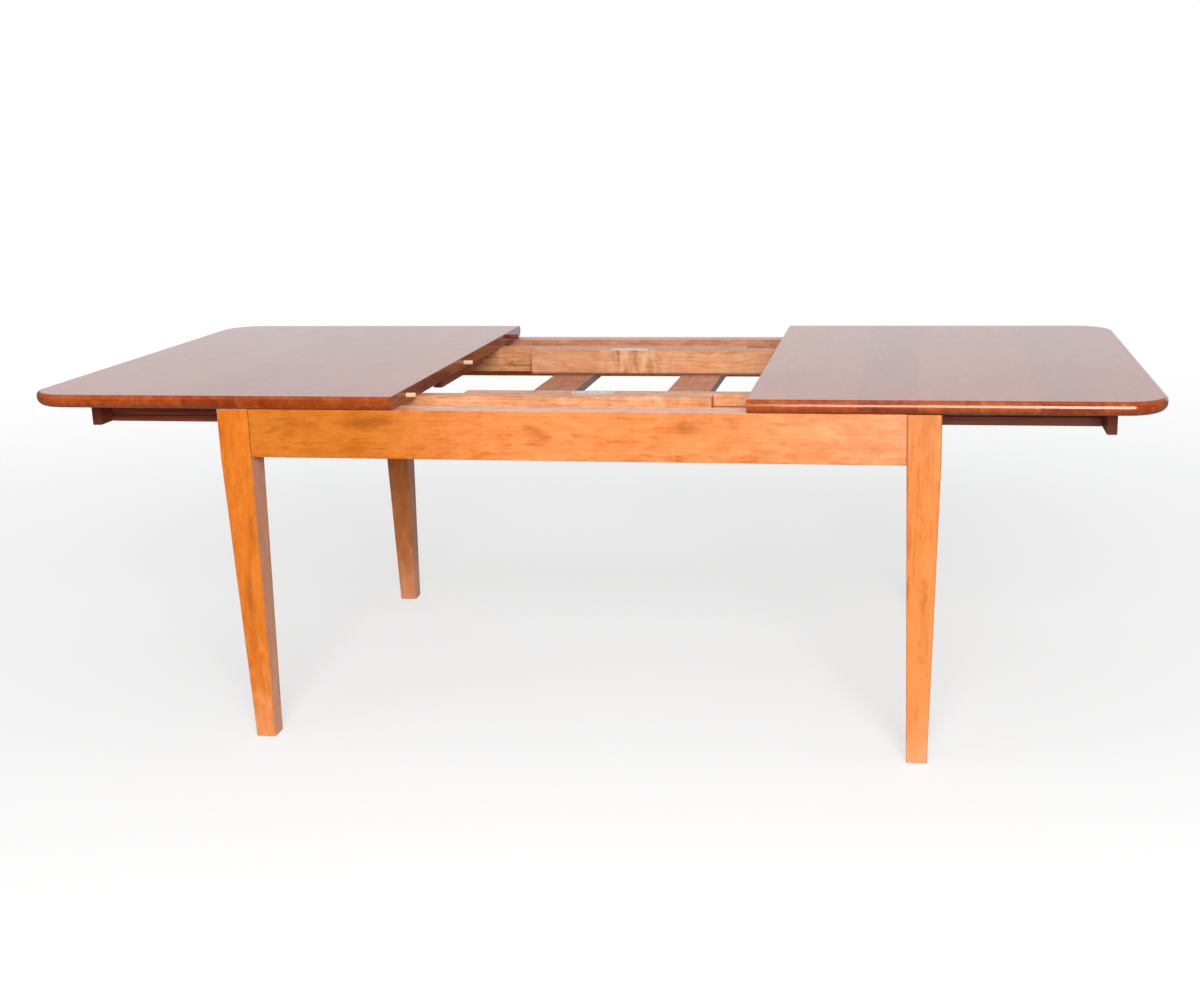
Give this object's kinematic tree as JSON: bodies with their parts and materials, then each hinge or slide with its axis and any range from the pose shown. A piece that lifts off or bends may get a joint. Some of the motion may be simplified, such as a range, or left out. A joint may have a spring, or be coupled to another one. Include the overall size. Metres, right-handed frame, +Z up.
{
  "type": "extension dining table",
  "caption": "Wooden dining table on tapered legs whose split top slides apart on nested runners to take an insert leaf.",
  "frame": {"origin": "on the floor under the middle of the base", "axes": "+X along the table towards the right half top, +Y across it away from the front apron, +Z up"},
  "size_m": [2.316, 1.05, 0.75],
  "materials": {
    "top_wood": "gloss lacquer over reddish stain",
    "frame_wood": "satin lacquer over honey stain",
    "runner_wood": "plain planed hardwood, thin lacquer",
    "board_wood": "planed softwood, greyed",
    "dowel_wood": "turned beech, bare",
    "steel": "zinc plated"
  },
  "bodies": {
    "base": {"leg_front_left": "frame_wood", "leg_front_right": "frame_wood", "leg_back_left": "frame_wood", "leg_back_right": "frame_wood", "apron_front": "frame_wood", "apron_back": "frame_wood", "end_apron_left": "frame_wood", "end_apron_right": "frame_wood", "side_rail_front": "runner_wood", "side_rail_back": "runner_wood", "cross_board_left": "board_wood", "cross_board_right": "board_wood", "runner_guide_front_left": "runner_wood", "runner_guide_front_right": "runner_wood", "runner_guide_back_left": "runner_wood", "runner_guide_back_right": "runner_wood", "stop_pins": "dowel_wood", "cross_board_screws": "steel", "corner_block_front_left": "runner_wood", "corner_block_front_right": "runner_wood", "corner_block_back_left": "runner_wood", "corner_block_back_right": "runner_wood", "corner_bolts": "steel", "corner_washers": "steel", "corner_nuts": "steel"},
    "left_half": {"left_half_top": "top_wood", "left_runner_front": "runner_wood", "left_runner_back": "runner_wood", "left_outer_batten": "runner_wood", "left_inner_batten": "runner_wood", "locating_dowels": "dowel_wood", "left_half_screws": "steel", "left_batten_screws": "steel"},
    "right_half": {"right_half_top": "top_wood", "right_runner_front": "runner_wood", "right_runner_back": "runner_wood", "right_outer_batten": "runner_wood", "right_inner_batten": "runner_wood", "right_half_screws": "steel", "right_batten_screws": "steel", "runner_plate_front": "steel", "runner_plate_back": "steel", "plate_screws": "steel"}
  },
  "joints": [
    {"name": "left_half_slide", "type": "slide", "parent": "base", "child": "left_half", "axis": [1, 0, 0], "range_m": [0, 0.3575]},
    {"name": "right_half_slide", "type": "slide", "parent": "base", "child": "right_half", "axis": [-1, 0, 0], "range_m": [0, 0.3575]}
  ]
}
